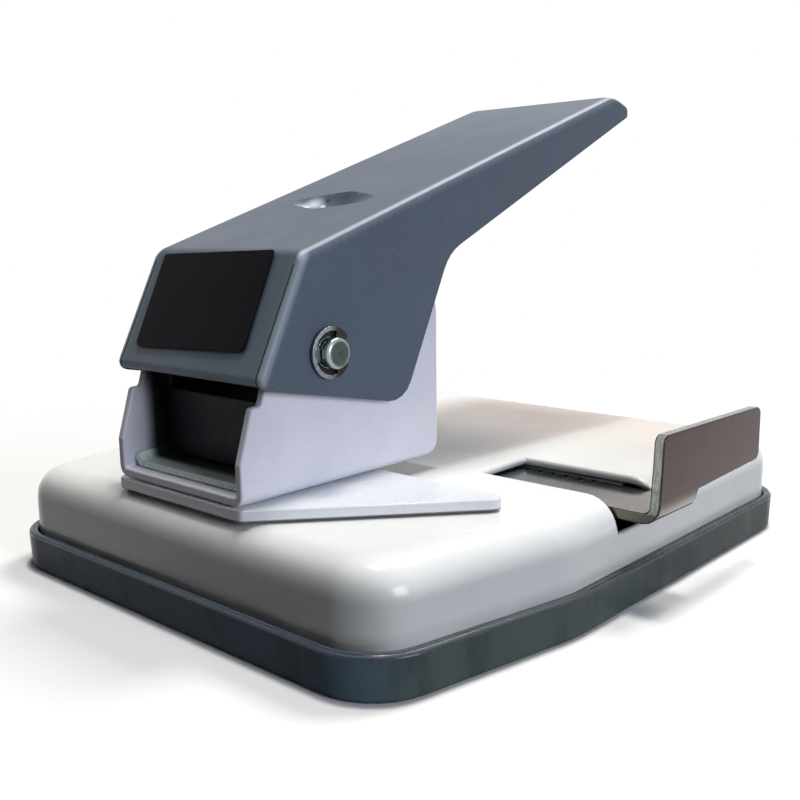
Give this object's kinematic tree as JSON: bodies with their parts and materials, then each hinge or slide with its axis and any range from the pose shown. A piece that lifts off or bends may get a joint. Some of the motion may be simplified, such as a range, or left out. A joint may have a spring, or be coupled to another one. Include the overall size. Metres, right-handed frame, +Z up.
{
  "type": "oval slot punch",
  "caption": "Table-top slot punch: a lever drives an oval punch through sheets laid against a stop plate and a sliding side guide; the base lifts off its chip tray.",
  "frame": {"origin": "on the face the chip tray stands on, in the middle of the head bracket's width, 33 mm behind the lever's pivot axis", "axes": "+X to the right seen from the label plate, towards the side guide; +Y to the back, where the handle points and the paper goes in; +Z up"},
  "size_m": [0.1538, 0.1626, 0.1192],
  "materials": {
    "tray_plastic": "satin",
    "shell_paint": "gloss",
    "stop_paint": "gloss",
    "bracket_paint": "satin",
    "handle_paint": "satin",
    "zinc_plate": "satin",
    "bright_plate": "polished",
    "tool_steel": "ground",
    "black_steel": "black oxide",
    "spring_steel": "satin",
    "label_black": "satin"
  },
  "bodies": {
    "base": {"base_shell": "shell_paint", "stop_plate": "stop_paint", "die_plate": "black_steel", "die_insert": "tool_steel", "head_bracket": "bracket_paint", "inner_channel": "zinc_plate", "guide_block": "black_steel", "stop_pin": "tool_steel", "head_screw_1": "zinc_plate", "head_screw_2": "zinc_plate", "head_screw_3": "zinc_plate", "head_screw_4": "zinc_plate", "pivot_pin": "bright_plate", "pivot_clip_left": "spring_steel", "pivot_clip_right": "spring_steel", "guide_carrier": "zinc_plate", "guide_leaf_spring": "spring_steel", "return_spring": "spring_steel"},
    "tray": {"chip_tray": "tray_plastic"},
    "lever": {"lever_handle": "handle_paint", "label_plate": "label_black"},
    "punch": {"punch_bar": "tool_steel", "punch_head": "black_steel", "cross_pin": "tool_steel", "spring_washer": "zinc_plate"},
    "guide": {"side_guide": "bright_plate"}
  },
  "joints": [
    {"name": "lever_pivot", "type": "hinge", "parent": "base", "child": "lever", "pos_m": [0, -0.0334, 0.0583], "axis": [-1, 0, 0], "range_deg": [0, 12.5]},
    {"name": "punch_slide", "type": "slide", "parent": "base", "child": "punch", "axis": [0, 0, -1], "range_m": [0, 0.0057], "stiffness_N_per_m": 4000, "springref_m": -0.004, "deforming": ["return_spring"]},
    {"name": "guide_slide", "type": "slide", "parent": "base", "child": "guide", "axis": [1, 0, 0], "range_m": [0, 0.04]},
    {"name": "tray_pull", "type": "slide", "parent": "base", "child": "tray", "axis": [0, 0, -1], "range_m": [0, 0.012]}
  ],
  "couplings": [
    {"joint": "punch_slide", "follows": "lever_pivot", "m_per_rad": 0.02605}
  ]
}
